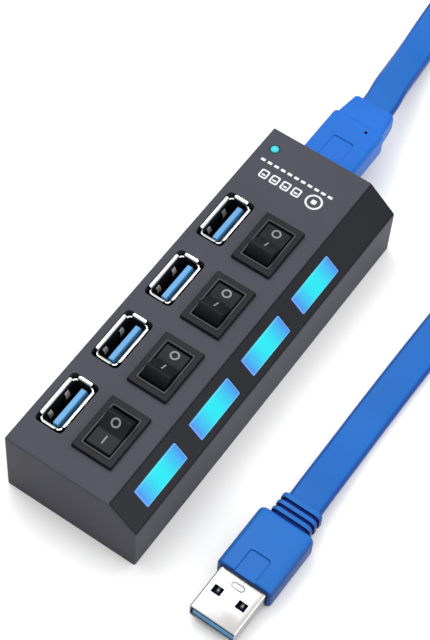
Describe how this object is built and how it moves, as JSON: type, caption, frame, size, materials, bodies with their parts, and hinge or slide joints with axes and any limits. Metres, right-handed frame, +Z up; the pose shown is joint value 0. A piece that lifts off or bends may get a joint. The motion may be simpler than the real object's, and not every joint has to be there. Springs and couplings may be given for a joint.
{
  "type": "usb hub",
  "caption": "Bar-shaped USB hub with upright ports, a rocker switch and a lit window beside each port, and a short flat cable that ends in a USB plug.",
  "frame": {"origin": "centre of the hub body's underside, on the surface it stands on", "axes": "+X along the hub to the end that the cable leaves, +Y towards the row of ports, +Z up through the ports and switches"},
  "size_m": [0.2188, 0.0679, 0.0237],
  "materials": {
    "case_plastic": "fine spark texture, satin",
    "strip_plastic": "smooth, dark, satin",
    "lit_lens": "translucent, lit blue and cyan from behind",
    "switch_frame_plastic": "satin black",
    "rocker_plastic": "semi-gloss black, pale grey O and I marks",
    "port_steel": "bright nickel plate",
    "plug_steel": "bright nickel plate",
    "plated_steel": "satin",
    "screw_steel": "zinc plate",
    "contact_metal": "plain",
    "port_plastic": "moulded blue",
    "cable_moulding": "soft satin blue",
    "cable_jacket": "flat cable, satin blue",
    "circuit_board": "green solder mask",
    "chip_package": "black epoxy",
    "led_package": "white"
  },
  "bodies": {
    "hub_body": {"top_housing": "case_plastic", "bottom_cover": "case_plastic", "light_strip": "strip_plastic", "circuit_board": "circuit_board", "hub_controller": "chip_package", "clock_crystal": "plated_steel", "supply_capacitor": "plated_steel", "status_light_pipe": "lit_lens", "status_led": "led_package", "cable_outlet": "cable_moulding", "flat_cable": "cable_jacket", "plug_overmould": "cable_moulding", "plug_shell": "plug_steel", "plug_insulator": "port_plastic", "led_window_1": "lit_lens", "led_window_2": "lit_lens", "led_window_3": "lit_lens", "led_window_4": "lit_lens", "window_led_1": "led_package", "window_led_2": "led_package", "window_led_3": "led_package", "window_led_4": "led_package", "usb_port_shell_1": "port_steel", "usb_port_shell_2": "port_steel", "usb_port_shell_3": "port_steel", "usb_port_shell_4": "port_steel", "usb_port_insulator_1": "port_plastic", "usb_port_insulator_2": "port_plastic", "usb_port_insulator_3": "port_plastic", "usb_port_insulator_4": "port_plastic", "switch_frame_1": "switch_frame_plastic", "switch_frame_2": "switch_frame_plastic", "switch_frame_3": "switch_frame_plastic", "switch_frame_4": "switch_frame_plastic", "pivot_terminal_1": "contact_metal", "pivot_terminal_2": "contact_metal", "pivot_terminal_3": "contact_metal", "pivot_terminal_4": "contact_metal", "load_terminal_1": "contact_metal", "load_terminal_2": "contact_metal", "load_terminal_3": "contact_metal", "load_terminal_4": "contact_metal", "cover_screw_1": "screw_steel", "cover_screw_2": "screw_steel", "cover_screw_3": "screw_steel", "cover_screw_4": "screw_steel"},
    "rocker_1": {"switch_rocker_1": "rocker_plastic"},
    "lever_1": {"contact_lever_1": "contact_metal"},
    "rocker_2": {"switch_rocker_2": "rocker_plastic"},
    "lever_2": {"contact_lever_2": "contact_metal"},
    "rocker_3": {"switch_rocker_3": "rocker_plastic"},
    "lever_3": {"contact_lever_3": "contact_metal"},
    "rocker_4": {"switch_rocker_4": "rocker_plastic"},
    "lever_4": {"contact_lever_4": "contact_metal"}
  },
  "joints": [
    {"name": "switch_1_rock", "type": "hinge", "parent": "hub_body", "child": "rocker_1", "pos_m": [0.0231, -0.00055, 0.019], "axis": [0, 1, 0], "range_deg": [-31, 0]},
    {"name": "contact_1_tip", "type": "hinge", "parent": "hub_body", "child": "lever_1", "pos_m": [0.0231, -0.00055, 0.0134], "axis": [0, 1, 0], "range_deg": [0, 15.5]},
    {"name": "switch_2_rock", "type": "hinge", "parent": "hub_body", "child": "rocker_2", "pos_m": [0.0026, -0.00055, 0.019], "axis": [0, 1, 0], "range_deg": [-31, 0]},
    {"name": "contact_2_tip", "type": "hinge", "parent": "hub_body", "child": "lever_2", "pos_m": [0.0026, -0.00055, 0.0134], "axis": [0, 1, 0], "range_deg": [0, 15.5]},
    {"name": "switch_3_rock", "type": "hinge", "parent": "hub_body", "child": "rocker_3", "pos_m": [-0.0179, -0.00055, 0.019], "axis": [0, 1, 0], "range_deg": [-31, 0]},
    {"name": "contact_3_tip", "type": "hinge", "parent": "hub_body", "child": "lever_3", "pos_m": [-0.0179, -0.00055, 0.0134], "axis": [0, 1, 0], "range_deg": [0, 15.5]},
    {"name": "switch_4_rock", "type": "hinge", "parent": "hub_body", "child": "rocker_4", "pos_m": [-0.0384, -0.00055, 0.019], "axis": [0, 1, 0], "range_deg": [0, 31]},
    {"name": "contact_4_tip", "type": "hinge", "parent": "hub_body", "child": "lever_4", "pos_m": [-0.0384, -0.00055, 0.0134], "axis": [0, 1, 0], "range_deg": [-15.5, 0]}
  ],
  "couplings": [
    {"joint": "contact_1_tip", "follows": "switch_1_rock", "ratio": -0.5},
    {"joint": "contact_2_tip", "follows": "switch_2_rock", "ratio": -0.5},
    {"joint": "contact_3_tip", "follows": "switch_3_rock", "ratio": -0.5},
    {"joint": "contact_4_tip", "follows": "switch_4_rock", "ratio": -0.5}
  ]
}
